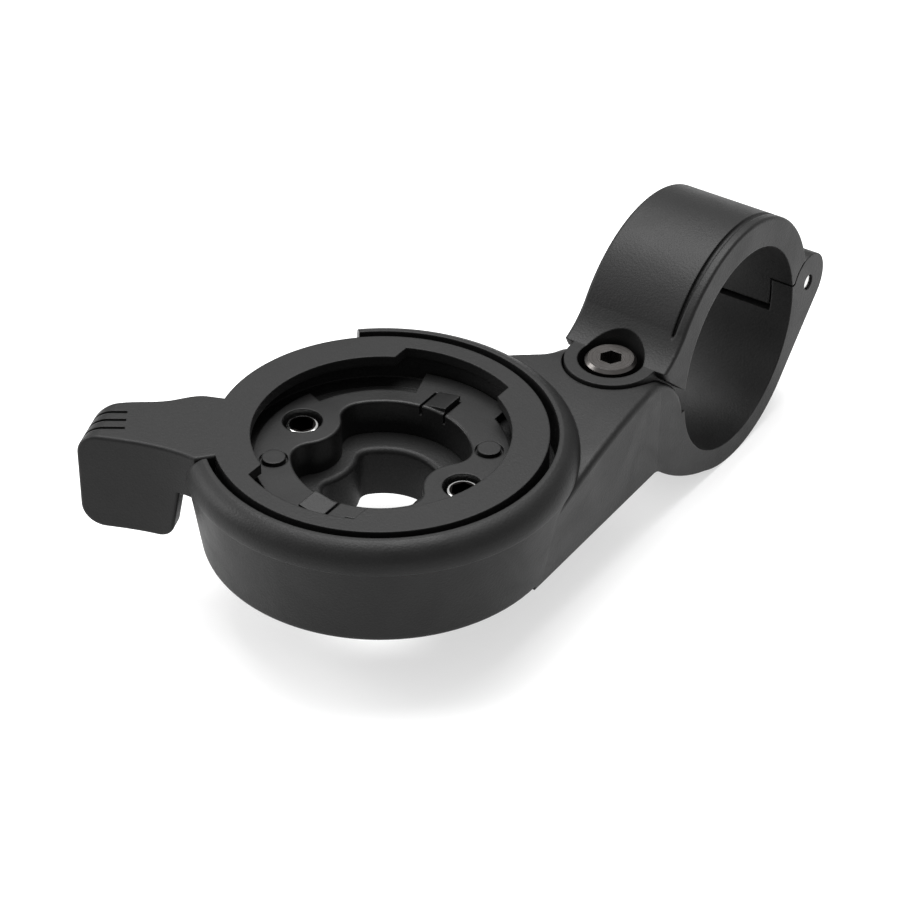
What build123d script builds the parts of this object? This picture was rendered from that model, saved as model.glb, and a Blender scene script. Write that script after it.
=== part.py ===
from build123d import *
import os
from math import acos, atan2, cos, degrees, hypot, radians, sin

# Out-front handlebar mount for a cycling computer, in millimetres.
# Origin: centre of the handlebar bore.  +X along the bar, -Y out to the front, +Z up.

# --- Handlebar clamp -------------------------------------------------------------
bar_radius = 15.9
lower_wall = 3.3
band_wall = 4.5
band_front_z = 1.6             # lower front edge of the band, at the bore
band_tip_reach = 5.4           # how far the band's front tip stands out from the bore
band_tip_z = 6.3
brow_length = 7.5              # from the band's round outside to the brow's lip
brow_hollow = 0.6
brow_lip = 0.7                 # how far the brow stands out over the band's tip
band_edge_round = 0.5
bead_inset = 1.75              # middle of the groove that sets off the bead at the band's edge
bead_groove_radius = 0.45
bead_groove_shift = 0.35       # sets the groove off-centre, so that it runs out over the top
base_z = -8.5                  # underside of the arm and the cup
part_gap = 0.35                # clear space between pieces that move past each other
overlap = 0.05                 # how far shapes that are joined run into each other
tolerance = 0.01               # for telling one face or edge from another

# --- Hinge at the back of the clamp ----------------------------------------------
pin_offset = 5.0               # from the bore's wall to the pin's axis
pin_z = 0.7
pin_radius = 1.25
pin_running_fit = 0.04
pin_recess = 0.3
pin_chamfer = 0.2
ear_wall = 3.45                # round the pin
ear_width = 3.55
knuckle_wall = 3.05            # round the pin
knuckle_seam_z = -1.9          # lower edge of the band between the ears
knuckle_top_angle = 31.6       # where the knuckle's back leaves the band's round outside
knuckle_root_angle = 45.0      # where the knuckle has fully grown out of the band
seam_opening = 1.0             # gap below the knuckle's edge
rear_seam_z = 2.5              # top of the lower half beside the knuckle

# --- Clamp bolt, washer and captive nut -------------------------------------------
bore_side_wall = 2.2           # between the bar's bore and the head's counterbore
bolt_head_radius = 3.75
bolt_head_height = 4.0
bolt_head_top = 8.0
bolt_head_chamfer = 0.45
bolt_radius = 2.0
thread_depth = 0.45
bolt_length = 12.0
bolt_thread_length = 7.0
socket_flats = 3.0
socket_depth = 2.2
washer_margin = 0.45           # beside the bolt's head
washer_thickness = 0.6
washer_clearance = 0.15
counterbore_clearance = 0.6    # beside the washer
tab_wall = 1.9                 # round the counterbore
pocket_wall = 1.45             # beside the tab, in the arm
tab_top_z = 7.7
tab_seat_thickness = 2.0
tab_hole_clearance = 0.2
arm_hole_clearance = 0.6
nut_wall = 1.5
nut_height = 3.2
nut_bore_clearance = 0.1
nut_chamfer = 0.3
nut_recess = 0.9
nut_pocket_clearance = 0.05

# --- Cup, set out to one side of the clamp ------------------------------------------
cup_side_step = 0.6            # the cup's foot stands out this far beyond the clamp's side
arm_reach = 6.3                # from the bolt's axis to the cup's rim, along Y
cup_wall_draft = 1.8
cup_bead_step = 0.3
cup_bead_z = 4.2
cup_rim_z = 8.5
cup_base_round = 1.2
cup_wall = 2.9                 # at the bead
cup_bead_lean = 0.35           # the bead's side leans in by this much
cup_bead_drop = 1.5            # below the rim, where its side turns over
cup_lip_width = 0.6            # flat top of the bead
shelf_z = 1.3
seat_z = -0.8
through_edge_round = 0.8

# --- Arm -----------------------------------------------------------------------------
arm_top_z = 7.2
arm_top_fall = 4.0             # how much lower the top is where it runs into the cup
arm_edge_round = 0.9
arm_corner_round = 3.0
arm_back_inset = 2.6
shoulder_lead = 4.1            # the shoulder starts this far in front of the bolt's axis
shoulder_foot_z = -2.0
heel_angle = 227.0             # middle of the heel, where the arm's underside runs into the clamp
heel_end_angle = 264.0
heel_bulge = 1.1               # beyond the clamp's round outside
heel_round = 2.5

# --- Lock ring and lever ---------------------------------------------------------------
ring_gap = 1.3                 # inside the cup's wall
ring_wall = 2.3
ring_top_z = 8.5
ring_float = 0.3               # above the cup's shelf
lip_setback = 0.2              # outside the receiver insert's rim
lip_thickness = 1.6
slot_width = 17.5
slot_setback = 0.4             # inside the ring's bore
flange_thickness = 1.5
flange_gap = 0.4               # round the receiver insert
lever_front_angle = 229.6
lever_width = 14.25            # of its root, round the ring
lever_swing = 60.0
lever_stop_gap = 0.9           # degrees, at the lever's front
lever_back_gap = 1.6           # degrees, behind the lever when it has swung back
paddle_gap = 2.0               # from the cup's wall to the paddle's inner corner
paddle_lead = 3.08             # that corner is this far back from the lever's front, round the cup
paddle_angle = 200.0
paddle_thickness = 2.8
paddle_width = 13.4
paddle_bottom_z = -6.9
paddle_bow = 0.45
paddle_root_slope = 1.6        # its inner edge leans by this much from top to bottom
paddle_root_lead = 1.4
paddle_root_round = 2.5
paddle_tip_round = 3.5
plate_thickness = 3.3
plate_step_start = 1.5         # along the paddle, where the thick root ends
plate_step_end = 4.2
lever_back_lead = 2.4          # where the back edge leaves the ring
lever_back_lean = 1.0          # degrees
lever_root_depth = 1.2         # how far the lever runs into the ring
lever_shoulder = (3.5, 11.5)   # points of the back edge: along the paddle and square to it
lever_far_end = (11.4, 8.4)
lever_tip_corner = (13.0, 7.2)
lever_corner_round = 2.8
lever_tip_round = 3.2
lever_edge_round = 0.45
groove_count = 3
groove_pitch = 1.9
groove_length = 12.0
groove_width = 0.5
groove_depth = 0.45
groove_angle = 34.0
groove_middle = (14.0, 5.6)    # of the nearest one: along the paddle and square to it

# --- Receiver insert and its screws ------------------------------------------------------
insert_radius = 17.8
insert_fit = 0.1
tab_gap = 0.3                  # over the ring's flange
tab_thickness = 1.2
tab_overlap = 2.6              # beyond the insert's rim
tab_clearance = 0.5            # inside the ring's bore
opening_margin = 5.3           # from the insert's rim to its opening
opening_boss = 5.5             # round each screw's axis
opening_round = 3.2
opening_edge_round = 0.35
through_ledge = 4.2            # the cup's own opening is smaller by this much
through_boss = 7.9
through_round = 1.8
relief_start = 107.0
relief_end = 160.0
relief_inset = 2.4
pad_angles = (37.0, 220.0)
pad_inset = 2.9                # from the insert's rim to the pad's axis
pad_radius = 1.65
pad_height = 0.4
pad_groove = 0.35
pad_groove_depth = 0.5
wedge_inset = 3.0              # from the insert's rim to the wedge's middle
wedge_length = 3.8
wedge_width = 3.6
wedge_height = 0.7             # of its high end: it rises the way the computer turns
slit_width = 0.4
slit_depth = 1.6
screw_inset = 4.2              # from the insert's rim to the screw's axis
screw_head_radius = 2.35
screw_head_height = 2.0
screw_head_round = 0.3
screw_sink_clearance = 0.5
screw_sink_depth = 2.6
screw_radius = 1.25
screw_length = 8.0
screw_tip_gap = 0.2
screw_hole_clearance = 0.1
screw_socket_radius = 1.5
screw_socket_depth = 1.5
brass_wall = 0.75
brass_length = 4.2

# --- Detent that holds the lever open or shut -----------------------------------------------
ball_radius = 1.2
ball_sink = 0.3                # depth of the ball's middle below the shelf
ball_inset = 2.2               # from the ring's outside to the ball's middle
ball_fit = 0.05
track_fit = 0.1
spring_wire_radius = 0.2
spring_fit = 0.2
spring_turns = 5
spring_bottom_z = -5.2

# --- Worked out from the sizes above ---------------------------------------------------------
outer_lower = bar_radius + lower_wall
outer_band = bar_radius + band_wall
ear_radius = pin_radius + ear_wall
knuckle_radius = pin_radius + knuckle_wall
pin_y = bar_radius + pin_offset
bolt_core_radius = bolt_radius - thread_depth
washer_radius = bolt_head_radius + washer_margin
counterbore_radius = washer_radius + counterbore_clearance
tab_radius = counterbore_radius + tab_wall
nut_flats = 2 * (bolt_radius + nut_wall)
bolt_y = -bar_radius - bore_side_wall - counterbore_radius
half_width = tab_radius + part_gap + pocket_wall
half_ear_gap = half_width - ear_width
half_knuckle = half_ear_gap - part_gap
beyond = 2 * (outer_band + half_width)      # long enough to cut clean through

tab_reach = insert_radius + tab_overlap
ring_bore_radius = tab_reach + tab_clearance
ring_radius = ring_bore_radius + ring_wall
lip_radius = insert_radius + lip_setback
slot_radius = ring_bore_radius - slot_setback
cup_inner_radius = ring_radius + ring_gap
cup_bead_radius = cup_inner_radius + cup_wall
cup_wall_radius = cup_bead_radius - cup_bead_step
cup_base_radius = cup_wall_radius - cup_wall_draft
cup_x = half_width + cup_side_step - cup_base_radius
cup_y = bolt_y - arm_reach - cup_bead_radius
lever_reach = cup_bead_radius + paddle_gap
lever_back_angle = lever_front_angle - degrees(lever_width / ring_radius)
cup_wall_opening_end = lever_back_angle - lever_swing - lever_back_gap
paddle_corner_angle = lever_front_angle - degrees(paddle_lead / lever_reach)
opening_radius = insert_radius - opening_margin
through_radius = opening_radius - through_ledge
screw_offset = insert_radius - screw_inset
screw_sink_radius = screw_head_radius + screw_sink_clearance
brass_radius = screw_radius + brass_wall
wedge_circle_radius = insert_radius - wedge_inset
ball_circle_radius = ring_radius - ball_inset
spring_radius = ball_radius + ball_fit - spring_fit - spring_wire_radius

washer_bottom = bolt_head_top - bolt_head_height - washer_thickness
tab_bottom = washer_bottom - tab_seat_thickness
pocket_floor = tab_bottom - part_gap
nut_bottom = base_z + nut_recess
nut_top = nut_bottom + nut_height
ball_z = shelf_z - ball_sink
ring_bottom_z = shelf_z + ring_float
flange_top_z = ring_bottom_z + flange_thickness
insert_top_z = flange_top_z + tab_gap + tab_thickness
lip_bottom_z = ring_top_z - lip_thickness
plate_bottom_z = ring_top_z - plate_thickness
screw_top_z = insert_top_z - screw_sink_depth + screw_head_height
screw_depth = seat_z - screw_top_z + screw_head_height + screw_length   # of its tip below the seat
cup_axis = Axis((cup_x, cup_y, 0), (0, 0, 1))


def on_cup(height):
    """Horizontal plane at a height, centred on the cup."""
    return Plane((cup_x, cup_y, height))


def polar(radius, angle):
    """Point at a radius and an angle in degrees."""
    return (radius * cos(radians(angle)), radius * sin(radians(angle)))


def cup_section():
    """Upright half plane through the cup's axis: local x is the radius, local y is Z."""
    return Plane((cup_x, cup_y, 0), x_dir=(1, 0, 0), z_dir=(0, -1, 0))


def lobed_opening(radius, boss, rounding):
    """Round opening that narrows to a neck between the bosses round the two screws."""
    with BuildSketch(mode=Mode.PRIVATE) as outline:
        Circle(radius)
        with PolarLocations(screw_offset, 2):
            Circle(boss, mode=Mode.SUBTRACT)
        fillet(outline.vertices(), rounding)
    return outline.sketch


def tangent_point(radius):
    """Where a line from the clamp's front corner touches a circle about the cup's axis."""
    reach = hypot(half_width - cup_x, bolt_y - cup_y)
    angle = degrees(atan2(bolt_y - cup_y, half_width - cup_x) - acos(radius / reach))
    return tuple(Vector(cup_x, cup_y) + Vector(*polar(radius, angle)))[:2]


def arm_outline(radius):
    """The arm from above, where the cup has this radius."""
    with BuildSketch(mode=Mode.PRIVATE) as outline:
        with BuildLine():
            Polyline(
                (cup_x, cup_y),
                tangent_point(radius),
                (half_width, bolt_y),
                (half_width, 0),
                (-half_width, 0),
                (-half_width, bolt_y - arm_back_inset),
                (cup_x + arm_back_inset, cup_y + cup_wall_radius),
                close=True,
            )
        make_face()
        corner = outline.vertices().sort_by_distance((-half_width, bolt_y - arm_back_inset))[0]
        fillet(corner, arm_corner_round)
    return outline.sketch


def sector(radius, start, end):
    """Wedge of a disc between two angles."""
    with BuildSketch(mode=Mode.PRIVATE) as wedge:
        with BuildLine():
            rim = CenterArc((0, 0), radius, start, end - start)
            Line((0, 0), rim @ 0)
            Line((0, 0), rim @ 1)
        make_face()
    return wedge.sketch


os.makedirs("parts", exist_ok=True)

# === Mount arm: cup, arm and lower half of the clamp, moulded in one ==========================

# The arm, which leaves the cup along the slope of its wall and runs into the clamp.
draft = cup_wall_draft / (cup_bead_z - base_z)
shoulder_y = bolt_y - shoulder_lead
with BuildPart() as arm_blank:
    with BuildSketch(Plane.XY.offset(base_z)):
        add(arm_outline(cup_base_radius - overlap))
    with BuildSketch(Plane.XY.offset(ring_top_z)):
        add(arm_outline(cup_base_radius - overlap + draft * (ring_top_z - base_z)))
    loft(ruled=True)
    # Seen from the side: level underside, top that falls to the cup, round shoulder at the bore.
    with BuildSketch(Plane.YZ):
        with BuildLine():
            top = ThreePointArc(
                (cup_y + arm_back_inset, arm_top_z - arm_top_fall),
                ((cup_y + shoulder_y) / 2, arm_top_z - arm_top_fall / 4),
                (shoulder_y, arm_top_z),
            )
            shoulder = TangentArc(top @ 1, (-bar_radius, shoulder_foot_z), tangent=(1, 0))
            Polyline(
                shoulder @ 1,
                (0, shoulder_foot_z),
                (0, base_z),
                (cup_y, base_z),
                (cup_y, arm_top_z - arm_top_fall),
                top @ 0,
            )
        make_face()
    extrude(amount=beyond, both=True, mode=Mode.INTERSECT)
    edges = arm_blank.edges().filter_by(
        lambda e: e.center().Z > 0 and e.center().X > cup_x + arm_back_inset and e.center().Y < -bar_radius
        and e.bounding_box().size.X < half_width)
    fillet(edges, arm_edge_round)

pin_distance = hypot(pin_y, pin_z)
tangent_angle = degrees(atan2(pin_z, pin_y) - acos((outer_lower - ear_radius) / pin_distance))
ear_tangent = Vector(*polar(ear_radius, tangent_angle)) + Vector(pin_y, pin_z)
clamp_tangent = Vector(*polar(outer_lower, tangent_angle))

with BuildPart() as mount_arm:
    # Cup, with its drafted wall and the round bead along its rim.
    with BuildSketch(cup_section()):
        with BuildLine():
            Polyline((0, base_z), (cup_base_radius, base_z), (cup_wall_radius, cup_bead_z))
            Line((cup_wall_radius, cup_bead_z), (cup_bead_radius, cup_bead_z + cup_bead_step))
            ThreePointArc(
                (cup_bead_radius, cup_bead_z + cup_bead_step),
                (cup_bead_radius - cup_bead_lean, cup_rim_z - cup_bead_drop),
                (cup_inner_radius + cup_lip_width, cup_rim_z),
            )
            Polyline((cup_inner_radius + cup_lip_width, cup_rim_z), (0, cup_rim_z), (0, base_z))
        make_face()
    revolve(axis=cup_axis)
    base_edge = mount_arm.edges().group_by(Axis.Z)[0]
    fillet(base_edge, cup_base_round)
    add(arm_blank.part)
    # Lower half of the clamp and the two hinge ears.
    with BuildSketch(Plane.YZ):
        Circle(outer_lower)
        with Locations((0, rear_seam_z + outer_band)):
            Rectangle(4 * outer_band, 2 * outer_band, mode=Mode.SUBTRACT)
        with Locations((-outer_band, outer_band + shoulder_foot_z)):
            Rectangle(2 * outer_band, 2 * outer_band, mode=Mode.SUBTRACT)
        with Locations((pin_y, pin_z)):
            Circle(ear_radius)
        with BuildLine():
            Polyline(
                (pin_y, pin_z),
                tuple(ear_tangent)[:2],
                tuple(clamp_tangent)[:2],
                (bar_radius, pin_z),
                close=True,
            )
        make_face()
    extrude(amount=half_width, both=True)
    # Heel, where the arm's underside runs down into the clamp.
    with BuildSketch(Plane.YZ) as heel:
        with BuildLine():
            sole = ThreePointArc(
                (bolt_y, base_z),
                polar(outer_lower + heel_bulge, heel_angle),
                polar(outer_lower, heel_end_angle),
            )
            Polyline(
                sole @ 1,
                (0, 0),
                (bolt_y - tab_radius, base_z + lower_wall),
                (bolt_y - tab_radius, base_z),
                sole @ 0,
            )
        make_face()
        fillet(heel.vertices().sort_by_distance((bolt_y, base_z))[0], heel_round)
    extrude(amount=half_width, both=True)
    # Bore for the bar.
    with BuildSketch(Plane.YZ):
        Circle(bar_radius)
    extrude(amount=beyond, both=True, mode=Mode.SUBTRACT)
    # Gap between the ears for the band's knuckle.
    with BuildSketch(Plane.YZ):
        with Locations((pin_y, pin_z)):
            Circle(ear_radius + part_gap)
        with Locations((pin_y, knuckle_seam_z - seam_opening + outer_band / 2)):
            Rectangle(2 * (pin_offset + lower_wall), outer_band)
    extrude(amount=half_ear_gap, both=True, mode=Mode.SUBTRACT)
    # Hinge pin hole, which grips the pin.
    with BuildSketch(Plane.YZ):
        with Locations((pin_y, pin_z)):
            Circle(pin_radius)
    extrude(amount=beyond, both=True, mode=Mode.SUBTRACT)
    # Pocket that the band's tab sits in, open to the bore.
    with BuildSketch(Plane.XY.offset(pocket_floor)):
        with Locations((0, bolt_y)):
            Circle(tab_radius + part_gap)
        with Locations((0, bolt_y / 2)):
            Rectangle(2 * (tab_radius + part_gap), -bolt_y)
    extrude(amount=beyond, mode=Mode.SUBTRACT)
    # Bolt hole and the hexagonal nut pocket under it.
    with BuildSketch(Plane.XY.offset(base_z)):
        with Locations((0, bolt_y)):
            Circle(bolt_radius + arm_hole_clearance)
    extrude(amount=beyond, mode=Mode.SUBTRACT)
    with BuildSketch(Plane.XY.offset(nut_top)):
        with Locations((0, bolt_y)):
            RegularPolygon(nut_flats / 2 + nut_pocket_clearance, 6, major_radius=False)
    extrude(amount=-outer_lower, mode=Mode.SUBTRACT)
    # Inside of the cup: shelf for the ring, seat for the insert, opening through the base.
    with BuildSketch(on_cup(shelf_z)):
        Circle(cup_inner_radius)
    extrude(amount=beyond, mode=Mode.SUBTRACT)
    with BuildSketch(on_cup(seat_z)):
        Circle(insert_radius + insert_fit)
    extrude(amount=beyond, mode=Mode.SUBTRACT)
    with BuildSketch(on_cup(base_z)):
        add(lobed_opening(through_radius, through_boss, through_round))
    extrude(amount=beyond, mode=Mode.SUBTRACT)
    seat = mount_arm.faces().filter_by(Plane.XY).filter_by(
        lambda f: abs(f.center().Z - seat_z) < tolerance)
    fillet(seat.sort_by(SortBy.AREA)[-1].inner_wires()[0].edges(), through_edge_round)
    # Gap in the wall that the lever swings in.
    with BuildSketch(on_cup(shelf_z)):
        add(sector(cup_bead_radius + cup_wall, cup_wall_opening_end, lever_front_angle + lever_stop_gap))
    extrude(amount=beyond, mode=Mode.SUBTRACT)
    # Holes for the brass inserts and the screw tips below them.
    with Locations((cup_x, cup_y, seat_z)):
        with PolarLocations(screw_offset, 2):
            Hole(brass_radius, depth=brass_length)
            Hole(screw_radius + screw_hole_clearance, depth=screw_depth + screw_tip_gap)
    # Holes for the detent balls and their springs.
    with Locations((cup_x, cup_y, shelf_z)):
        with PolarLocations(ball_circle_radius, 2):
            Hole(ball_radius + ball_fit, depth=shelf_z - spring_bottom_z)

# === Receiver insert: the quarter-turn socket's floor ==========================================
with BuildPart() as receiver_insert:
    with BuildSketch(on_cup(seat_z)):
        Circle(insert_radius)
    extrude(amount=insert_top_z - seat_z)
    # Two tabs that hold the ring's flange down.
    with BuildSketch(on_cup(insert_top_z - tab_thickness)):
        Circle(tab_reach)
        Rectangle(slot_width - 2 * part_gap, 3 * tab_reach, mode=Mode.INTERSECT)
    extrude(amount=tab_thickness)
    # Relief beside each tab.
    with BuildSketch(on_cup(insert_top_z - tab_thickness)):
        with PolarLocations(0, 2):
            add(sector(tab_reach + tab_thickness, relief_start, relief_end))
        Circle(insert_radius - relief_inset, mode=Mode.SUBTRACT)
    extrude(amount=2 * tab_thickness, mode=Mode.SUBTRACT)
    with BuildSketch(on_cup(seat_z)):
        add(lobed_opening(opening_radius, opening_boss, opening_round))
    extrude(amount=beyond, mode=Mode.SUBTRACT)
    rim = receiver_insert.faces().sort_by(Axis.Z)[-1].inner_wires().sort_by(SortBy.LENGTH)[-1]
    fillet(rim.edges(), opening_edge_round)
    # Counterbores for the two screws.
    with Locations((cup_x, cup_y, insert_top_z)):
        with PolarLocations(screw_offset, 2):
            CounterBoreHole(screw_radius + screw_hole_clearance, screw_sink_radius,
                            screw_sink_depth, depth=insert_top_z - seat_z)
    # Round pads with a fine groove round each.
    with BuildSketch(on_cup(insert_top_z - pad_groove_depth)):
        for angle in pad_angles:
            with Locations(polar(insert_radius - pad_inset, angle)):
                Circle(pad_radius + pad_groove)
                Circle(pad_radius, mode=Mode.SUBTRACT)
    extrude(amount=beyond, mode=Mode.SUBTRACT)
    with BuildSketch(on_cup(insert_top_z)):
        for angle in pad_angles:
            with Locations(polar(insert_radius - pad_inset, angle)):
                Circle(pad_radius)
    extrude(amount=pad_height)
    # Two wedges that take up the play of the computer's tabs, each on a slit tongue.
    for angle in (90, 270):
        wedge_x, wedge_y = polar(wedge_circle_radius, angle)
        wedge_frame = Plane(
            origin=(cup_x + wedge_x, cup_y + wedge_y, insert_top_z),
            x_dir=(*polar(1, angle - 90), 0),
            z_dir=(*polar(-1, angle), 0),
        )
        with BuildSketch(wedge_frame):
            with BuildLine():
                Polyline(
                    (-wedge_width / 2, -overlap),
                    (wedge_width / 2, -overlap),
                    (wedge_width / 2, wedge_height),
                    (-wedge_width / 2, 0),
                    close=True,
                )
            make_face()
        extrude(amount=wedge_length / 2, both=True)
    with BuildSketch(on_cup(insert_top_z - slit_depth)):
        with PolarLocations(wedge_circle_radius - 2 * slit_width, 2, start_angle=90):
            with GridLocations(0, wedge_width + slit_width, 1, 2):
                Rectangle(wedge_length + 2 * slit_width, slit_width)
    extrude(amount=2 * slit_depth, mode=Mode.SUBTRACT)

# === Screws and brass inserts that hold the receiver insert ====================================
with BuildPart() as receiver_screws:
    with BuildSketch(on_cup(screw_top_z - screw_head_height)):
        with PolarLocations(screw_offset, 2):
            Circle(screw_head_radius)
    extrude(amount=screw_head_height)
    fillet(receiver_screws.edges().group_by(Axis.Z)[-1], screw_head_round)
    with BuildSketch(on_cup(screw_top_z)):
        with PolarLocations(screw_offset, 2):
            RegularPolygon(screw_socket_radius, 6, major_radius=False)
    extrude(amount=-screw_socket_depth, mode=Mode.SUBTRACT)
    with BuildSketch(on_cup(screw_top_z - screw_head_height)):
        with PolarLocations(screw_offset, 2):
            Circle(screw_radius)
    extrude(amount=-screw_length)

with BuildPart() as screw_inserts:
    with BuildSketch(on_cup(seat_z)):
        with PolarLocations(screw_offset, 2):
            Circle(brass_radius)
            Circle(screw_radius, mode=Mode.SUBTRACT)
    extrude(amount=-brass_length)

# === Detent balls and springs ===================================================================
ball_sides = {"left": 180, "right": 0}
detent_balls = {}
detent_springs = {}
for side, angle in ball_sides.items():
    offset_x, offset_y = polar(ball_circle_radius, angle)
    ball_x = cup_x + offset_x
    ball_y = cup_y + offset_y
    with BuildPart() as ball:
        with Locations((ball_x, ball_y, ball_z)):
            Sphere(ball_radius)
    detent_balls[side] = ball
    spring_height = ball_z - ball_radius - spring_bottom_z - 2 * spring_wire_radius
    with BuildPart() as spring:
        with BuildLine():
            coil = Helix(
                pitch=spring_height / spring_turns,
                height=spring_height,
                radius=spring_radius,
                center=(ball_x, ball_y, spring_bottom_z + spring_wire_radius),
            )
        with BuildSketch(Plane(origin=coil @ 0, z_dir=coil % 0)):
            Circle(spring_wire_radius)
        sweep(is_frenet=True)
    detent_springs[side] = spring

# === Lock ring with its lever ====================================================================
paddle_corner = Vector(*polar(lever_reach, paddle_corner_angle))
paddle_frame = Plane(
    origin=(cup_x + paddle_corner.X, cup_y + paddle_corner.Y, 0),
    x_dir=(*polar(1, paddle_angle), 0),
    z_dir=(*polar(1, paddle_angle - 90), 0),
)


def from_corner(along, across):
    """Point measured from the paddle's inner corner, along the paddle and square to it."""
    point = paddle_corner + Vector(*polar(along, paddle_angle)) + Vector(*polar(across, paddle_angle - 90))
    return (point.X, point.Y)


def lever_outline():
    """The lever from above, from its root on the ring out to the paddle and the tip."""
    with BuildSketch(mode=Mode.PRIVATE) as outline:
        with BuildLine():
            back = Line(
                polar(ring_radius - lever_root_depth, lever_back_angle),
                polar(ring_radius + lever_back_lead, lever_back_angle + lever_back_lean),
            )
            tip = Line(from_corner(*lever_far_end), from_corner(*lever_tip_corner))
            far_edge = Spline(
                back @ 1,
                from_corner(*lever_shoulder),
                tip @ 0,
                tangents=[back % 1, tip % 0],
            )
            near_edge = Spline(
                from_corner(paddle_width + paddle_gap, 0),
                from_corner(paddle_width / 3, paddle_bow),
                from_corner(0, 0),
                polar(cup_bead_radius - ring_gap + overlap, lever_front_angle),
            )
            root = Line(near_edge @ 1, polar(ring_radius - lever_root_depth, lever_front_angle))
            Line(root @ 1, back @ 0)
            Line(tip @ 1, near_edge @ 0)
        make_face()
        tip_corner = outline.vertices().sort_by_distance(from_corner(*lever_tip_corner))[0]
        fillet(tip_corner, lever_corner_round)
    return outline.sketch


def lever_side():
    """The plate seen square to the paddle: a thick root, a thinner plate and a rounded tip."""
    with BuildSketch(mode=Mode.PRIVATE) as side:
        with BuildLine():
            Polyline(
                (-lever_reach / 2, ring_bottom_z),
                (plate_step_start, ring_bottom_z),
                (plate_step_end, plate_bottom_z),
                (paddle_width, plate_bottom_z),
                (paddle_width, ring_top_z),
                (-lever_reach / 2, ring_top_z),
                close=True,
            )
        make_face()
        fillet(side.vertices().group_by(Axis.X)[-1].sort_by(Axis.Y)[-1], lever_tip_round)
    return side.sketch


def paddle_side():
    """The paddle's face: square, with rounded corners, and stepped up to the ring at its root."""
    with BuildSketch(mode=Mode.PRIVATE) as side:
        with BuildLine():
            Polyline(
                (-lever_reach / 4, ring_bottom_z),
                (-paddle_root_lead, ring_bottom_z),
                (paddle_root_slope - paddle_root_lead, paddle_bottom_z),
                (paddle_width, paddle_bottom_z),
                (paddle_width, ring_top_z),
                (-lever_reach / 4, ring_top_z),
                close=True,
            )
        make_face()
        fillet(side.vertices().group_by(Axis.Y)[0].sort_by(Axis.X)[0], paddle_root_round)
        fillet(side.vertices().group_by(Axis.Y)[0].sort_by(Axis.X)[-1], paddle_tip_round)
        fillet(side.vertices().group_by(Axis.X)[-1].sort_by(Axis.Y)[-1], lever_tip_round)
    return side.sketch


with BuildPart() as lever_blank:
    with BuildSketch(on_cup(paddle_bottom_z)):
        add(lever_outline())
    extrude(amount=ring_top_z - paddle_bottom_z)
    with BuildSketch(paddle_frame):
        add(lever_side())
    extrude(amount=beyond, both=True, mode=Mode.INTERSECT)

# The paddle that turns down from the plate's front edge.
with BuildPart() as paddle_blank:
    with BuildSketch(on_cup(paddle_bottom_z)):
        add(lever_outline())
    extrude(amount=ring_top_z - paddle_bottom_z)
    with BuildSketch(paddle_frame.offset(-paddle_thickness / 3)):
        add(paddle_side())
    extrude(amount=paddle_thickness * 4 / 3, mode=Mode.INTERSECT)

# Plate and paddle together, with a soft edge round the top.
with BuildPart() as lever:
    add(lever_blank.part)
    add(paddle_blank.part)
    rounded = lever.edges().group_by(Axis.Z)[-1].filter_by(
        lambda e: hypot(e.center().X - cup_x, e.center().Y - cup_y) > ring_radius
        and abs(e.tangent_at(0.5).dot(paddle_frame.z_dir)) < 0.9)
    fillet(rounded, lever_edge_round)

# Grip grooves of even depth, over the plate and down round its end.
with BuildPart() as lever_core:
    with BuildSketch(on_cup(paddle_bottom_z)):
        add(lever_outline())
        offset(amount=-groove_depth)
    extrude(amount=ring_top_z - paddle_bottom_z)
    with BuildSketch(paddle_frame):
        add(lever_side())
        offset(amount=-groove_depth)
    extrude(amount=beyond, both=True, mode=Mode.INTERSECT)

with BuildPart() as grip_grooves:
    with BuildSketch(on_cup(plate_bottom_z + groove_width)):
        for index in range(groove_count):
            middle = Vector(*from_corner(*groove_middle)) + Vector(
                *polar(groove_pitch * index, groove_angle - 90))
            with Locations((middle.X, middle.Y)):
                Rectangle(groove_length, groove_width, rotation=groove_angle)
    extrude(amount=plate_thickness)
    add(lever_core.part, mode=Mode.SUBTRACT)

with BuildPart() as lock_ring:
    with BuildSketch(on_cup(ring_bottom_z)):
        Circle(ring_radius)
    extrude(amount=ring_top_z - ring_bottom_z)
    add(lever.part)
    # Space for the computer's tabs, over the inner flange.
    with BuildSketch(on_cup(flange_top_z)):
        Circle(ring_bore_radius)
    extrude(amount=lip_bottom_z - flange_top_z, mode=Mode.SUBTRACT)
    with BuildSketch(on_cup(ring_bottom_z)):
        Circle(insert_radius + flange_gap)
    extrude(amount=flange_thickness, mode=Mode.SUBTRACT)
    with BuildSketch(on_cup(lip_bottom_z)):
        Circle(lip_radius)
    extrude(amount=lip_thickness, mode=Mode.SUBTRACT)
    # Slots at the front and the back that let the tabs in.
    with BuildSketch(on_cup(lip_bottom_z)):
        Circle(slot_radius)
        Rectangle(slot_width, 3 * slot_radius, mode=Mode.INTERSECT)
    extrude(amount=lip_thickness, mode=Mode.SUBTRACT)
    # Track in the underside for the detent balls.
    with Locations((cup_x, cup_y, ball_z)):
        Torus(ball_circle_radius, ball_radius + track_fit, mode=Mode.SUBTRACT)
    add(grip_grooves.part, mode=Mode.SUBTRACT)

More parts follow.
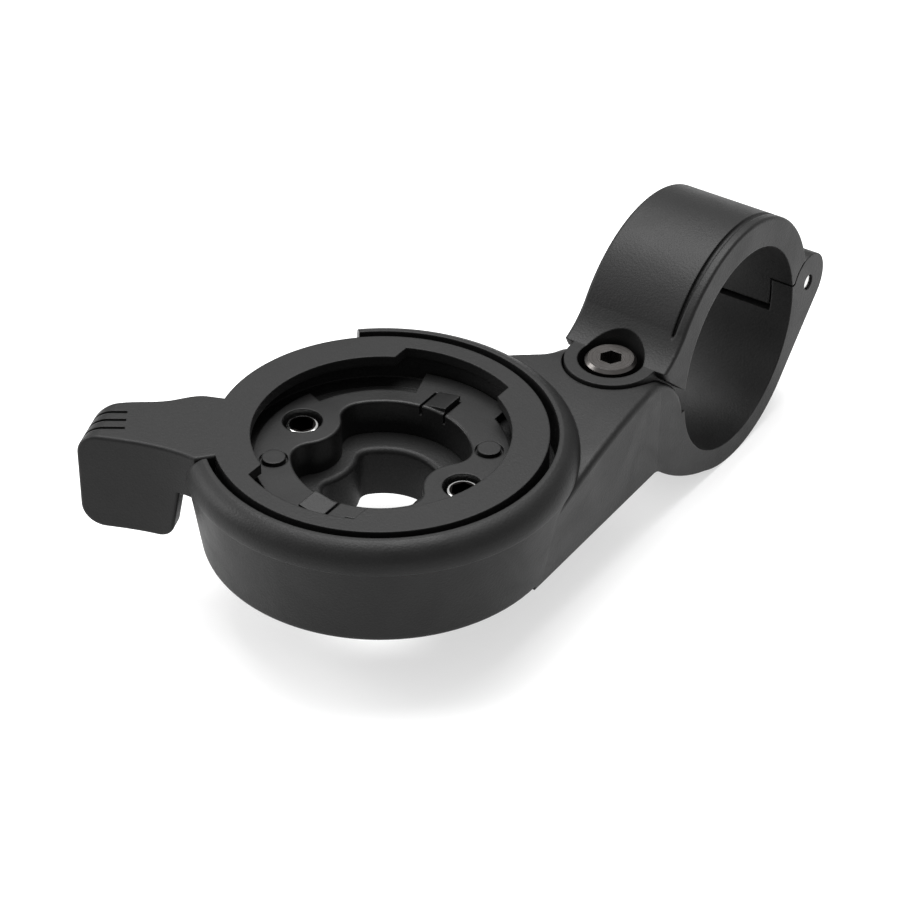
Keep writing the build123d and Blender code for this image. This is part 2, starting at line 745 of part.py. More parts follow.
# === Clamp band: the upper half of the clamp ======================================================
band_foot = (-bar_radius - overlap, band_front_z)
band_tip = (-bar_radius - band_tip_reach, band_tip_z)
brow_end = (-bar_radius - band_tip_reach - brow_lip, tab_top_z - overlap)
brow_end_radius = hypot(*brow_end)
brow_turn = acos((outer_band**2 + brow_end_radius**2 - brow_length**2) / (2 * outer_band * brow_end_radius))
brow_start_angle = degrees(atan2(brow_end[1], brow_end[0]) - brow_turn)
brow_start = polar(outer_band, brow_start_angle)
with BuildPart() as clamp_band:
    with BuildSketch(Plane.YZ):
        Circle(outer_band)
    extrude(amount=half_width, both=True)
    # Brow at the front, which the tab grows out of.
    with BuildSketch(Plane.YZ):
        with BuildLine():
            brow = SagittaArc(brow_start, brow_end, brow_hollow)
            Polyline(brow @ 1, band_tip, band_foot, polar(bar_radius, brow_start_angle), brow @ 0)
        make_face()
    extrude(amount=half_width, both=True)
    ends = clamp_band.edges().filter_by(lambda e: abs(abs(e.center().X) - half_width) < tolerance)
    fillet(ends.filter_by(lambda e: e.center().Z > band_tip_z or e.center().Y > 0), band_edge_round)
    # Cut away what lies under the two joints with the lower half, and the bore.
    with BuildSketch(Plane.YZ):
        with BuildLine():
            Polyline((0, band_front_z), band_foot, band_tip, (-beyond, band_tip_z), (-beyond, -beyond),
                     (beyond, -beyond), (beyond, rear_seam_z + part_gap),
                     (0, rear_seam_z + part_gap), close=True)
        make_face()
        Circle(bar_radius)
    extrude(amount=beyond, both=True, mode=Mode.SUBTRACT)
    # Groove that sets off the bead along the outer edge.
    with BuildSketch(Plane.XY) as bead_groove:
        with Locations((half_width - bead_inset, outer_band + bead_groove_shift / 2)):
            Circle(bead_groove_radius)
    revolve(axis=Axis((0, bead_groove_shift, bead_groove_shift / 2), (1, 0, 0)), mode=Mode.SUBTRACT)
    # Room for the hinge ears at both sides of the knuckle.
    for end in (-1, 1):
        with BuildSketch(Plane.YZ.offset(end * half_knuckle)):
            with Locations((pin_y, pin_z)):
                Circle(ear_radius + part_gap)
        extrude(amount=end * beyond, mode=Mode.SUBTRACT)
    # Knuckle between the ears.
    with BuildSketch(Plane.YZ):
        with Locations((pin_y, pin_z)):
            Circle(knuckle_radius)
        with BuildLine():
            Polyline(
                (pin_y, pin_z + knuckle_radius),
                polar(outer_band - overlap, knuckle_top_angle),
                polar(bar_radius, knuckle_root_angle),
                (bar_radius - band_wall, knuckle_seam_z),
                (pin_y, knuckle_seam_z),
                close=True,
            )
        make_face()
        Circle(bar_radius, mode=Mode.SUBTRACT)
    extrude(amount=half_knuckle, both=True)
    # Rounded tab that the bolt pulls down into the arm's pocket.
    with BuildSketch(Plane.XY.offset(tab_bottom)):
        with Locations((0, bolt_y)):
            Circle(tab_radius)
        with Locations((0, bolt_y + tab_radius)):
            Rectangle(2 * tab_radius, 2 * tab_radius)
    extrude(amount=tab_top_z - tab_bottom)
    with BuildSketch(Plane.YZ):
        Circle(bar_radius)
    extrude(amount=beyond, both=True, mode=Mode.SUBTRACT)
    # Counterbore for the bolt's head, sunk through the band's brow, and the bolt hole.
    with BuildSketch(Plane.XY.offset(washer_bottom)):
        with Locations((0, bolt_y)):
            Circle(counterbore_radius)
    extrude(amount=beyond, mode=Mode.SUBTRACT)
    with BuildSketch(Plane.XY.offset(tab_bottom)):
        with Locations((0, bolt_y)):
            Circle(bolt_radius + tab_hole_clearance)
    extrude(amount=beyond, mode=Mode.SUBTRACT)
    # Hole for the hinge pin.
    with BuildSketch(Plane.YZ):
        with Locations((pin_y, pin_z)):
            Circle(pin_radius + pin_running_fit)
    extrude(amount=beyond, both=True, mode=Mode.SUBTRACT)

# === Hinge pin ======================================================================================
with BuildPart() as hinge_pin:
    with BuildSketch(Plane.YZ):
        with Locations((pin_y, pin_z)):
            Circle(pin_radius)
    extrude(amount=half_width - pin_recess, both=True)
    chamfer(hinge_pin.edges().filter_by(GeomType.CIRCLE), pin_chamfer)

# === Clamp bolt, washer and nut =======================================================================
with BuildPart() as clamp_bolt:
    head_bottom = bolt_head_top - bolt_head_height
    with BuildSketch(Plane.XY.offset(head_bottom)):
        with Locations((0, bolt_y)):
            Circle(bolt_head_radius)
    extrude(amount=bolt_head_height)
    chamfer(clamp_bolt.edges().group_by(Axis.Z)[-1], bolt_head_chamfer)
    with BuildSketch(Plane.XY.offset(bolt_head_top)):
        with Locations((0, bolt_y)):
            RegularPolygon(socket_flats / 2, 6, major_radius=False)
    extrude(amount=-socket_depth, mode=Mode.SUBTRACT)
    with BuildSketch(Plane.XY.offset(head_bottom)):
        with Locations((0, bolt_y)):
            Circle(bolt_radius)
    extrude(amount=bolt_thread_length - bolt_length)
    with BuildSketch(Plane.XY.offset(head_bottom)):
        with Locations((0, bolt_y)):
            Circle(bolt_core_radius)
    extrude(amount=-bolt_length)
    chamfer(clamp_bolt.edges().group_by(Axis.Z)[0], bolt_radius - bolt_core_radius)

with BuildPart() as clamp_washer:
    with BuildSketch(Plane.XY.offset(washer_bottom)):
        with Locations((0, bolt_y)):
            Circle(washer_radius)
            Circle(bolt_radius + washer_clearance, mode=Mode.SUBTRACT)
    extrude(amount=washer_thickness)

with BuildPart() as clamp_nut:
    with BuildSketch(Plane.XY.offset(nut_bottom)):
        with Locations((0, bolt_y)):
            RegularPolygon(nut_flats / 2, 6, major_radius=False)
            Circle(bolt_radius + nut_bore_clearance, mode=Mode.SUBTRACT)
    extrude(amount=nut_height)
    mouth = clamp_nut.edges().filter_by(GeomType.CIRCLE)
    chamfer(mouth, nut_chamfer)

# === Files ================================================================================================
mount_arm.part.label = "mount_arm"
export_step(mount_arm.part, "parts/mount_arm.step")
receiver_insert.part.label = "receiver_insert"
export_step(receiver_insert.part, "parts/receiver_insert.step")
receiver_screws.part.label = "receiver_screws"
export_step(receiver_screws.part, "parts/receiver_screws.step")
screw_inserts.part.label = "screw_inserts"
export_step(screw_inserts.part, "parts/screw_inserts.step")
lock_ring.part.label = "lock_ring"
export_step(lock_ring.part, "parts/lock_ring.step")
clamp_band.part.label = "clamp_band"
export_step(clamp_band.part, "parts/clamp_band.step")
hinge_pin.part.label = "hinge_pin"
export_step(hinge_pin.part, "parts/hinge_pin.step")
clamp_bolt.part.label = "clamp_bolt"
export_step(clamp_bolt.part, "parts/clamp_bolt.step")
clamp_washer.part.label = "clamp_washer"
export_step(clamp_washer.part, "parts/clamp_washer.step")
clamp_nut.part.label = "clamp_nut"
export_step(clamp_nut.part, "parts/clamp_nut.step")
for side in ball_sides:
    detent_balls[side].part.label = f"detent_ball_{side}"
    export_step(detent_balls[side].part, f"parts/detent_ball_{side}.step")
    detent_springs[side].part.label = f"detent_spring_{side}"
    export_step(detent_springs[side].part, f"parts/detent_spring_{side}.step")
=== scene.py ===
import math

import bpy
from mathutils import Euler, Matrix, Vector


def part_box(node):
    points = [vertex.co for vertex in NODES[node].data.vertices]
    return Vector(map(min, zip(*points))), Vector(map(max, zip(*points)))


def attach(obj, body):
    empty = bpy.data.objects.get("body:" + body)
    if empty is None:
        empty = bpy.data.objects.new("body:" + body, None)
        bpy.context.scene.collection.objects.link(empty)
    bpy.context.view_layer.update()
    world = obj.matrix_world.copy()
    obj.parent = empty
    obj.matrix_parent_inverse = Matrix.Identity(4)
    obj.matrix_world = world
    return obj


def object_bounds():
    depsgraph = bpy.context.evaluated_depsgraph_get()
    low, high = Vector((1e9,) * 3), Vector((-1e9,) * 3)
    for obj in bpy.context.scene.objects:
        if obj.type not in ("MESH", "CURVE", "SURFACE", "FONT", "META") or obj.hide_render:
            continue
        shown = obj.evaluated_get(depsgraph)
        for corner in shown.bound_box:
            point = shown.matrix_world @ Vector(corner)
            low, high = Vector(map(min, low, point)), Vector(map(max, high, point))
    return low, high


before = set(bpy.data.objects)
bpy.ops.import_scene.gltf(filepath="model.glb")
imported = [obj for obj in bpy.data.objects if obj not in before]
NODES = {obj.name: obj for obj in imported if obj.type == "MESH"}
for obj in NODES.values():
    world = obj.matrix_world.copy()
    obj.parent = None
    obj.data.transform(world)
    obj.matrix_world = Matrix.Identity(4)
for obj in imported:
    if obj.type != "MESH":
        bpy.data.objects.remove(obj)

# Out-front handlebar mount for a cycling computer: the finishes of its pieces, the thread of
# its clamp bolt, and the stage it stands on.  Metres, +X along the handlebar, +Z up.

bl_info = {
    "name": "Out-front computer mount",
    "version": (1, 0, 0),
    "blender": (4, 5, 0),
    "location": "View3D > Sidebar > Mount",
    "description": "Finishes, bolt thread and stage for an out-front mount of a cycling computer",
    "category": "Object",
}

MM = 0.001
CAD_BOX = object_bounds()
BOLT_LOW, BOLT_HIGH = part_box("clamp_bolt")
BOLT_AXIS = (BOLT_LOW + BOLT_HIGH) / 2
SCREW_LOW, SCREW_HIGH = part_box("receiver_screws")
PIN_LOW, PIN_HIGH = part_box("hinge_pin")

# Details of the finishes, in millimetres.
EDGE_BREAK = 0.3        # radius of the broken edges of the mouldings
FLOW_CLOUD = 11         # size of the paler clouds in the nylon
PIT_SPACING = 1.6       # distance between the skin's pits, in grains
STEEL_STAIN = 1.5       # size of the colour changes on turned steel
METAL_STAIN = 2.5       # size of the colour changes on drawn metal
METAL_GRAIN_DEPTH = 0.004
SCREW_SOCKET_SHADE = 1.9       # radius of the painted shade in the middle of a receiver screw, reaching past its socket
THREAD_SINK = 0.02      # how far the thread's foot is sunk in the shank
CARD_FIBRE = 2          # size of the card's fibres
CARD_RELIEF = 0.05      # height of the card's fibres

# The stage, in metres.  Lamps are placed from the middle of the object, and the camera in
# the part's own frame.
FLOOR_REACH = 4.0
FLOOR_GAP = 0.05 * MM   # below the lowest point, so that the two don't share a plane
OVERHEAD_PLACE = Vector((-0.1, 0.12, 0.6))
OVERHEAD_WIDTH = 0.5
LEFT_PLACE = Vector((-0.5, -0.2, 0.25))
LEFT_WIDTH = 0.25
LEFT_SHARE = 0.25       # of the overhead softbox's power
CAMERA_PLACE = Vector((180.23, -329.13, 247.13)) * MM
CAMERA_TURN = (54.221, -0.178, 34.298)      # degrees about X, Y and Z
SENSOR_WIDTH = 36.0     # millimetres
NEAR_CLIP = 0.01        # metres


# --- Helpers ------------------------------------------------------------------------------

def linear(colour):
    """An sRGB hex colour, such as "#2b2b2c", as linear red, green, blue and alpha."""
    channels = [int(colour[i:i + 2], 16) / 255 for i in (1, 3, 5)]
    toe = 0.04045
    return [c / 12.92 if c <= toe else ((c + 0.055) / 1.055) ** 2.4 for c in channels] + [1.0]


def node(tree, kind, inputs=None, **settings):
    """Add one node, with its settings, and its inputs as values or as sockets to link."""
    made = tree.nodes.new(kind)
    for name, value in settings.items():
        setattr(made, name, value)
    for key, value in (inputs or {}).items():
        if isinstance(value, bpy.types.NodeSocket):
            tree.links.new(value, made.inputs[key])
        else:
            made.inputs[key].default_value = value
    return made


def new_material(name):
    """An empty node material, and its tree to fill."""
    material = bpy.data.materials.new(name)
    material.use_nodes = True
    material.node_tree.nodes.clear()
    return material, material.node_tree


def shade(tree, inputs):
    """Finish a material with one shader on its output."""
    shader = node(tree, "ShaderNodeBsdfPrincipled", inputs)
    node(tree, "ShaderNodeOutputMaterial", {"Surface": shader.outputs[0]})


def finish_node(name, material):
    """Give a CAD node its finish."""
    slots = NODES[name].data.materials
    slots.clear()
    slots.append(material)


# --- Finishes ------------------------------------------------------------------------------

def moulded_nylon(name, colour, flow_colour, roughness, grit, grit_depth, glint):
    """Black glass-filled nylon, injection moulded.

    The mould's spark-eroded skin gives an even matt grit, the glass fibres bring faint
    paler clouds where the melt flowed, and the eye sees a soft grey sheen, never a mirror.
    Every edge is broken by a hair in the mould, so it catches a thin line of light.
    """
    material, tree = new_material(name)
    place = node(tree, "ShaderNodeTexCoord").outputs["Object"]
    flow = node(tree, "ShaderNodeTexNoise", {
        "Vector": place, "Scale": 1 / (FLOW_CLOUD * MM), "Detail": 3.0, "Distortion": 1.2})
    grains = node(tree, "ShaderNodeTexNoise", {
        "Vector": place, "Scale": 1 / (grit * MM), "Detail": 4.0, "Roughness": 0.65})
    pits = node(tree, "ShaderNodeTexVoronoi", {
        "Vector": place, "Scale": 1 / (PIT_SPACING * grit * MM)})
    speckle = node(tree, "ShaderNodeMapRange", {
        "Value": grains.outputs["Fac"], "From Min": 0.35, "From Max": 0.75})
    amount = node(tree, "ShaderNodeMath", {
        0: flow.outputs["Fac"], 1: speckle.outputs[0]}, operation="MULTIPLY")
    tint = node(tree, "ShaderNodeMix", {
        "Factor": amount.outputs[0], "A": linear(colour), "B": linear(flow_colour)},
        data_type="RGBA")
    gloss = node(tree, "ShaderNodeMapRange", {
        "Value": flow.outputs["Fac"], "From Min": 0.3, "From Max": 0.7,
        "To Min": roughness - 0.04, "To Max": roughness + 0.05})
    height = node(tree, "ShaderNodeMath", {
        0: grains.outputs["Fac"], 1: pits.outputs["Distance"]}, operation="ADD")
    edges = node(tree, "ShaderNodeBevel", {"Radius": EDGE_BREAK * MM}, samples=6)
    bump = node(tree, "ShaderNodeBump", {
        "Height": height.outputs[0], "Strength": 0.6, "Distance": grit_depth * MM,
        "Normal": edges.outputs[0]})
    shade(tree, {
        "Base Color": tint.outputs[2], "Roughness": gloss.outputs[0],
        "Normal": bump.outputs[0], "IOR": 1.53, "Specular IOR Level": glint})
    return material


def turned_steel(name, colour, dark_colour, roughness, centre, axis, line, line_depth,
                 fold=None, socket_shade=None):
    """Steel turned on a lathe: fine rings about its axis catch the light in a soft cross.

    axis is 0 where it lies along X, and 2 along Z.  Where two like pieces share the finish,
    centre is half way between them, and fold is how far along X each one's axis is from it.
    socket_shade is the radius round the axis inside which the colour is painted near black as
    shade: the drive socket and the edge of the face round it.
    """
    material, tree = new_material(name)
    place = node(tree, "ShaderNodeTexCoord").outputs["Object"]
    from_axis = node(tree, "ShaderNodeMapping", {
        "Vector": place, "Location": [-value for value in centre]})
    parts = node(tree, "ShaderNodeSeparateXYZ", {"Vector": from_axis.outputs[0]})
    across = parts.outputs[2] if axis == 0 else parts.outputs[0]
    if fold:
        size = node(tree, "ShaderNodeMath", {0: across}, operation="ABSOLUTE")
        across = node(tree, "ShaderNodeMath", {
            0: size.outputs[0], 1: fold}, operation="SUBTRACT").outputs[0]
    flat = node(tree, "ShaderNodeCombineXYZ", {0: across, 1: parts.outputs[1]})
    radius = node(tree, "ShaderNodeVectorMath", {0: flat.outputs[0]}, operation="LENGTH")
    rings = node(tree, "ShaderNodeTexNoise", {
        "W": radius.outputs["Value"], "Scale": 1 / (line * MM), "Detail": 2.0},
        noise_dimensions="1D")
    stains = node(tree, "ShaderNodeTexNoise", {
        "Vector": place, "Scale": 1 / (STEEL_STAIN * MM), "Detail": 3.0})
    tint = node(tree, "ShaderNodeMix", {
        "Factor": stains.outputs["Fac"], "A": linear(colour), "B": linear(dark_colour)},
        data_type="RGBA")
    # Painted shade: inside this radius of the axis the colour turns near black. It covers the
    # socket and reaches past it onto the head's face.
    if socket_shade:
        inside = node(tree, "ShaderNodeMath", {
            0: radius.outputs["Value"], 1: socket_shade * MM}, operation="LESS_THAN")
        tint = node(tree, "ShaderNodeMix", {
            "Factor": inside.outputs[0], "A": tint.outputs[2], "B": linear("#1d1918")},
            data_type="RGBA")
    gloss = node(tree, "ShaderNodeMapRange", {
        "Value": rings.outputs["Fac"], "From Min": 0.3, "From Max": 0.7,
        "To Min": roughness - 0.04, "To Max": roughness + 0.06})
    bump = node(tree, "ShaderNodeBump", {
        "Height": rings.outputs["Fac"], "Strength": 0.4, "Distance": line_depth * MM})
    shade(tree, {
        "Base Color": tint.outputs[2], "Metallic": 1.0, "Roughness": gloss.outputs[0],
        "Normal": bump.outputs[0]})
    return material


def drawn_metal(name, colour, dark_colour, roughness, grain):
    """Drawn or pressed metal, tumbled smooth: a faint even grain and slow colour changes."""
    material, tree = new_material(name)
    place = node(tree, "ShaderNodeTexCoord").outputs["Object"]
    grains = node(tree, "ShaderNodeTexNoise", {
        "Vector": place, "Scale": 1 / (grain * MM), "Detail": 3.0})
    stains = node(tree, "ShaderNodeTexNoise", {
        "Vector": place, "Scale": 1 / (METAL_STAIN * MM), "Detail": 2.0})
    tint = node(tree, "ShaderNodeMix", {
        "Factor": stains.outputs["Fac"], "A": linear(colour), "B": linear(dark_colour)},
        data_type="RGBA")
    gloss = node(tree, "ShaderNodeMapRange", {
        "Value": grains.outputs["Fac"], "To Min": roughness - 0.05, "To Max": roughness + 0.08})
    bump = node(tree, "ShaderNodeBump", {
        "Height": grains.outputs["Fac"], "Strength": 0.25,
        "Distance": METAL_GRAIN_DEPTH * MM})
    shade(tree, {
        "Base Color": tint.outputs[2], "Metallic": 1.0, "Roughness": gloss.outputs[0],
        "Normal": bump.outputs[0]})
    return material


# --- Settings --------------------------------------------------------------------------------

class MOUNT_PG_finish(bpy.types.PropertyGroup):
    """Colours and grit of the finishes"""
    nylon: bpy.props.StringProperty(
        name="Nylon", description="sRGB colour of the mouldings", default="#0d0d0d")
    nylon_flow: bpy.props.StringProperty(
        name="Flow marks", description="sRGB colour of the paler clouds", default="#191919")
    insert: bpy.props.StringProperty(
        name="Insert", description="sRGB colour of the receiver insert", default="#0b0b0b")
    roughness: bpy.props.FloatProperty(
        name="Roughness", description="Roughness of the mouldings", default=0.5,
        min=0.0, max=1.0, subtype="FACTOR")
    grit: bpy.props.FloatProperty(
        name="Grit", description="Size of the skin's grains, coarser than real so it shows, in mm",
        default=0.22, min=0.05)
    bolt: bpy.props.StringProperty(
        name="Bolt", description="sRGB colour of the clamp bolt", default="#595756")


class MOUNT_PG_thread(bpy.types.PropertyGroup):
    """Sizes of the clamp bolt's thread"""
    outer: bpy.props.FloatProperty(
        name="Outer radius", description="Radius at the thread's crests", default=1.97 * MM,
        unit="LENGTH")
    core: bpy.props.FloatProperty(
        name="Core radius", description="Radius at the thread's roots", default=1.55 * MM,
        unit="LENGTH")
    pitch: bpy.props.FloatProperty(
        name="Pitch", description="Rise in one turn", default=0.7 * MM, unit="LENGTH")
    length: bpy.props.FloatProperty(
        name="Length", description="Threaded length", default=6.3 * MM, unit="LENGTH")


class MOUNT_PG_stage(bpy.types.PropertyGroup):
    """Floor, lights and camera"""
    floor: bpy.props.StringProperty(
        name="Floor", description="sRGB colour of the floor", default="#fafafa")
    floor_glow: bpy.props.FloatProperty(
        name="Floor glow", description="Light of the lit table under the card",
        default=0.6, min=0.0)
    sky: bpy.props.FloatProperty(
        name="Sky", description="Strength of the even light all round", default=0.6, min=0.0)
    key: bpy.props.FloatProperty(
        name="Key", description="Power of the overhead softbox", default=9.0, unit="POWER")
    lens: bpy.props.FloatProperty(
        name="Lens", description="Focal length of the camera", default=120.0)


# --- Pieces ------------------------------------------------------------------------------------

class MOUNT_OT_mouldings(bpy.types.Operator):
    """Finish the arm, the band, the lock ring and the receiver insert"""
    bl_idname = "mount.mouldings"
    bl_label = "Mouldings"

    def execute(self, context):
        wish = context.scene.mount_finish
        shell = moulded_nylon("spark-textured nylon", wish.nylon, wish.nylon_flow,
                              wish.roughness, wish.grit, grit_depth=0.03, glint=0.18)
        for name in ("mount_arm", "clamp_band", "lock_ring"):
            finish_node(name, shell)
        insert = moulded_nylon("satin nylon", wish.insert, wish.nylon_flow,
                               wish.roughness - 0.08, 0.8 * wish.grit,
                               grit_depth=0.015, glint=0.2)
        finish_node("receiver_insert", insert)
        return {"FINISHED"}


class MOUNT_OT_clamp_metal(bpy.types.Operator):
    """Finish the clamp's bolt, washer and nut and the hinge pin"""
    bl_idname = "mount.clamp_metal"
    bl_label = "Clamp metal"

    def execute(self, context):
        wish = context.scene.mount_finish
        bolt = turned_steel("black-nickel steel", wish.bolt, "#474442", roughness=0.3,
                            centre=BOLT_AXIS, axis=2, line=0.12, line_depth=0.006)
        finish_node("clamp_bolt", bolt)
        washer = drawn_metal("oiled steel", "#4a4644", "#383533", roughness=0.4, grain=0.1)
        finish_node("clamp_washer", washer)
        nut = drawn_metal("zinc-plated steel", "#b9bcbf", "#a4a49f", roughness=0.3, grain=0.15)
        finish_node("clamp_nut", nut)
        pin = turned_steel("ground stainless steel", "#dededc", "#c6c6c4", roughness=0.16,
                           centre=(PIN_LOW + PIN_HIGH) / 2, axis=0, line=0.1, line_depth=0.004)
        finish_node("hinge_pin", pin)
        return {"FINISHED"}


class MOUNT_OT_receiver_metal(bpy.types.Operator):
    """Finish the receiver's screws, brass inserts, detent balls and springs"""
    bl_idname = "mount.receiver_metal"
    bl_label = "Receiver metal"

    def execute(self, context):
        head = (SCREW_HIGH.y - SCREW_LOW.y) / 2
        apart = (SCREW_HIGH.x - SCREW_LOW.x) / 2 - head
        screws = turned_steel("bright nickel plate", "#f0f0ef", "#dcdcda", roughness=0.09,
                              centre=(SCREW_LOW + SCREW_HIGH) / 2, axis=2, line=0.2,
                              line_depth=0.002, fold=apart, socket_shade=SCREW_SOCKET_SHADE)
        finish_node("receiver_screws", screws)
        brass = drawn_metal("turned brass", "#cfa75c", "#b08a42", roughness=0.3, grain=0.2)
        finish_node("screw_inserts", brass)
        ball = drawn_metal("polished stainless steel", "#e2e2e0", "#d2d2d0",
                           roughness=0.08, grain=0.3)
        wire = drawn_metal("spring steel wire", "#b4b4b2", "#9c9c9a",
                           roughness=0.25, grain=0.1)
        for side in ("left", "right"):
            finish_node("detent_ball_" + side, ball)
            finish_node("detent_spring_" + side, wire)
        return {"FINISHED"}


def thread_tree(material):
    """A helical ridge of triangular section, climbing from the origin."""
    tree = bpy.data.node_groups.new("helical thread", "GeometryNodeTree")
    sockets = {}
    for name in ("Outer radius", "Core radius", "Pitch", "Length"):
        socket = tree.interface.new_socket(name, in_out="INPUT", socket_type="NodeSocketFloat")
        sockets[name] = socket.identifier
    tree.interface.new_socket("Mesh", in_out="OUTPUT", socket_type="NodeSocketGeometry")
    sizes = node(tree, "NodeGroupInput").outputs
    turns = node(tree, "ShaderNodeMath", {
        0: sizes["Length"], 1: sizes["Pitch"]}, operation="DIVIDE")
    height = node(tree, "ShaderNodeMath", {
        0: sizes["Outer radius"], 1: sizes["Core radius"]}, operation="SUBTRACT")
    # A triangle's far corner stands one circumradius out, and its base half of one in.
    size = node(tree, "ShaderNodeMath", {0: height.outputs[0], 1: 1.5}, operation="DIVIDE")
    middle = node(tree, "ShaderNodeMath", {
        0: sizes["Outer radius"], 1: size.outputs[0]}, operation="SUBTRACT")
    spiral = node(tree, "GeometryNodeCurveSpiral", {
        "Resolution": 40, "Rotations": turns.outputs[0], "Start Radius": middle.outputs[0],
        "End Radius": middle.outputs[0], "Height": sizes["Length"]})
    upright = node(tree, "GeometryNodeSetCurveNormal", {"Curve": spiral.outputs[0]}, mode="Z_UP")
    triangle = node(tree, "GeometryNodeCurvePrimitiveCircle", {
        "Resolution": 3, "Radius": size.outputs[0]}, mode="RADIUS")
    ridge = node(tree, "GeometryNodeCurveToMesh", {
        "Curve": upright.outputs[0], "Profile Curve": triangle.outputs[0], "Fill Caps": True})
    real = node(tree, "GeometryNodeRealizeInstances", {"Geometry": ridge.outputs[0]})
    painted = node(tree, "GeometryNodeSetMaterial", {
        "Geometry": real.outputs[0], "Material": material})
    node(tree, "NodeGroupOutput", {"Mesh": painted.outputs[0]})
    return tree, sockets


def plain_mesh(name, tree, values, place):
    """Run a Geometry Nodes tree and keep its result as a plain mesh at a place."""
    maker = bpy.data.objects.new(name + "_maker", bpy.data.meshes.new(name + "_maker"))
    bpy.context.scene.collection.objects.link(maker)
    modifier = maker.modifiers.new("nodes", "NODES")
    modifier.node_group = tree
    for identifier, value in values.items():
        modifier[identifier] = value
    ready = maker.evaluated_get(bpy.context.evaluated_depsgraph_get())
    mesh = bpy.data.meshes.new_from_object(ready)
    maker.modifiers.clear()
    bpy.data.objects.remove(maker)
    for vertex in mesh.vertices:
        vertex.co += Vector(place)
    mesh.name = name
    piece = bpy.data.objects.new(name, mesh)
    bpy.context.scene.collection.objects.link(piece)
    return piece


class MOUNT_OT_bolt_thread(bpy.types.Operator):
    """Wind the thread of the clamp bolt round its shank"""
    bl_idname = "mount.bolt_thread"
    bl_label = "Bolt thread"

    def execute(self, context):
        wish = context.scene.mount_thread
        tree, sockets = thread_tree(NODES["clamp_bolt"].data.materials[0])
        values = {
            sockets["Outer radius"]: wish.outer,
            sockets["Core radius"]: wish.core - THREAD_SINK * MM,
            sockets["Pitch"]: wish.pitch,
            sockets["Length"]: wish.length,
        }
        foot = (BOLT_AXIS.x, BOLT_AXIS.y, BOLT_LOW.z + wish.pitch)
        thread = plain_mesh("bolt_thread", tree, values, foot)
        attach(thread, "bolt")
        return {"FINISHED"}


# --- Stage ---------------------------------------------------------------------------------------

def softbox(context, name, place, target, width, power):
    """A square area light at a place, facing a target."""
    lamp = bpy.data.lights.new(name, "AREA")
    lamp.size = width
    lamp.energy = power
    lamp_object = bpy.data.objects.new(name, lamp)
    lamp_object.location = place
    aim = Vector(target) - Vector(place)
    lamp_object.rotation_euler = aim.to_track_quat("-Z", "Y").to_euler()
    context.scene.collection.objects.link(lamp_object)


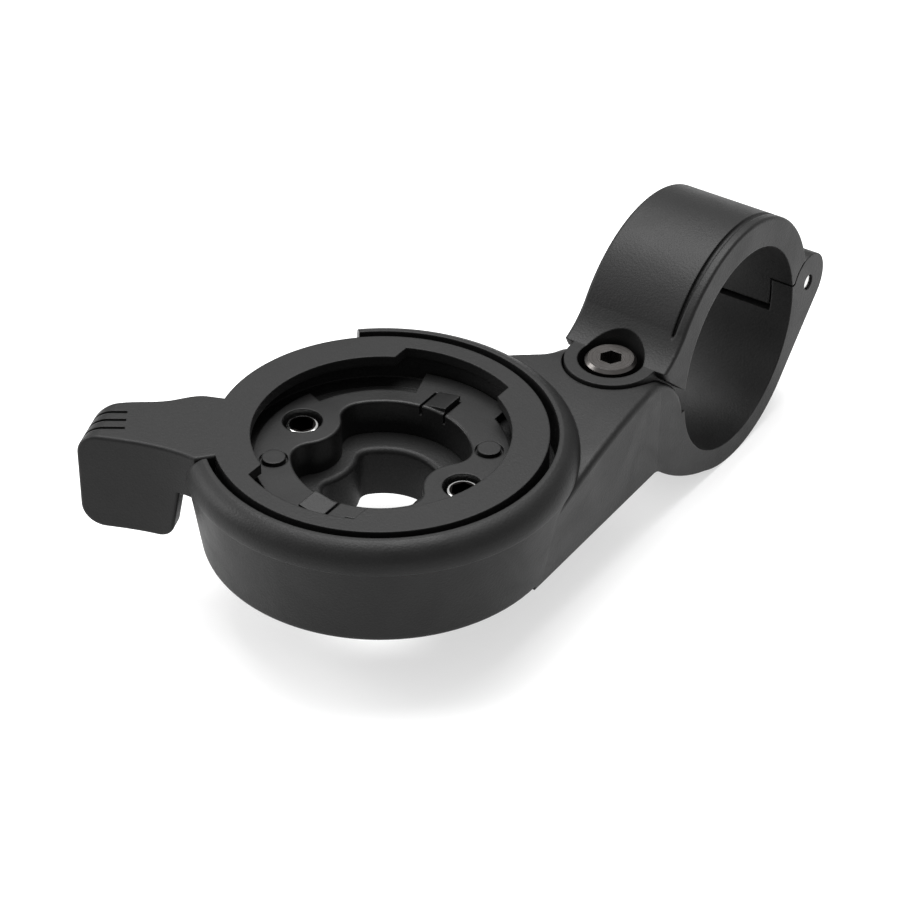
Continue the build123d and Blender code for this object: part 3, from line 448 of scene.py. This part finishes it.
class MOUNT_OT_stage(bpy.types.Operator):
    """Lay the pale floor, hang the lights and set up the camera"""
    bl_idname = "mount.stage"
    bl_label = "Stage"

    def execute(self, context):
        wish = context.scene.mount_stage
        scene = context.scene
        scene.view_settings.view_transform = "Standard"

        level = CAD_BOX[0].z - FLOOR_GAP
        signs = ((-1, -1), (1, -1), (1, 1), (-1, 1))
        corners = [(x * FLOOR_REACH, y * FLOOR_REACH, level) for x, y in signs]
        floor = bpy.data.meshes.new("floor")
        floor.from_pydata(corners, [], [(0, 1, 2, 3)])
        floor_object = bpy.data.objects.new("floor", floor)
        scene.collection.objects.link(floor_object)
        material, tree = new_material("matt white card")
        place = node(tree, "ShaderNodeTexCoord").outputs["Object"]
        fibre = node(tree, "ShaderNodeTexNoise", {
            "Vector": place, "Scale": 1 / (CARD_FIBRE * MM), "Detail": 2.0})
        bump = node(tree, "ShaderNodeBump", {
            "Height": fibre.outputs["Fac"], "Strength": 0.1,
            "Distance": CARD_RELIEF * MM})
        shade(tree, {
            "Base Color": linear("#b4b4b4"), "Roughness": 0.9, "Normal": bump.outputs[0],
            "Emission Color": linear(wish.floor), "Emission Strength": wish.floor_glow})
        floor.materials.append(material)

        world = bpy.data.worlds.new("studio")
        scene.world = world
        world.use_nodes = True
        tree = world.node_tree
        tree.nodes.clear()
        sky = node(tree, "ShaderNodeBackground", {"Color": linear("#ffffff"), "Strength": wish.sky})
        node(tree, "ShaderNodeOutputWorld", {"Surface": sky.outputs[0]})

        middle = (CAD_BOX[0] + CAD_BOX[1]) / 2
        softbox(context, "overhead", middle + OVERHEAD_PLACE, middle, OVERHEAD_WIDTH, wish.key)
        softbox(context, "left", middle + LEFT_PLACE, middle, LEFT_WIDTH, LEFT_SHARE * wish.key)

        camera = bpy.data.cameras.new("camera")
        camera.sensor_width = SENSOR_WIDTH
        camera.lens = wish.lens
        camera.clip_start = NEAR_CLIP
        camera_object = bpy.data.objects.new("camera", camera)
        camera_object.location = CAMERA_PLACE
        camera_object.rotation_euler = Euler([math.radians(angle) for angle in CAMERA_TURN])
        scene.collection.objects.link(camera_object)
        scene.camera = camera_object
        return {"FINISHED"}


class MOUNT_PT_panel(bpy.types.Panel):
    """Lists the steps and their settings"""
    bl_idname = "MOUNT_PT_panel"
    bl_label = "Mount"
    bl_space_type = "VIEW_3D"
    bl_region_type = "UI"
    bl_category = "Mount"

    def draw(self, context):
        for step in STEPS:
            self.layout.operator(step.bl_idname)
        for group in (context.scene.mount_finish, context.scene.mount_thread,
                      context.scene.mount_stage):
            for name in group.bl_rna.properties.keys():
                if name not in ("rna_type", "name"):
                    self.layout.prop(group, name)


GROUPS = {
    "mount_finish": MOUNT_PG_finish,
    "mount_thread": MOUNT_PG_thread,
    "mount_stage": MOUNT_PG_stage,
}
STEPS = (MOUNT_OT_mouldings, MOUNT_OT_clamp_metal, MOUNT_OT_receiver_metal,
         MOUNT_OT_bolt_thread, MOUNT_OT_stage)


def register():
    """Register the classes and hang the settings on the scene."""
    for item in (*GROUPS.values(), *STEPS, MOUNT_PT_panel):
        bpy.utils.register_class(item)
    for name, group in GROUPS.items():
        setattr(bpy.types.Scene, name, bpy.props.PointerProperty(type=group))


def unregister():
    """Take away what register added, in the opposite order."""
    for name in GROUPS:
        delattr(bpy.types.Scene, name)
    for item in (MOUNT_PT_panel, *reversed(STEPS), *GROUPS.values()):
        bpy.utils.unregister_class(item)


def main():
    """Finish every piece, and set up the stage."""
    register()
    bpy.ops.mount.mouldings()
    bpy.ops.mount.clamp_metal()
    bpy.ops.mount.receiver_metal()
    bpy.ops.mount.bolt_thread()
    bpy.ops.mount.stage()


if __name__ == "__main__":
    main()
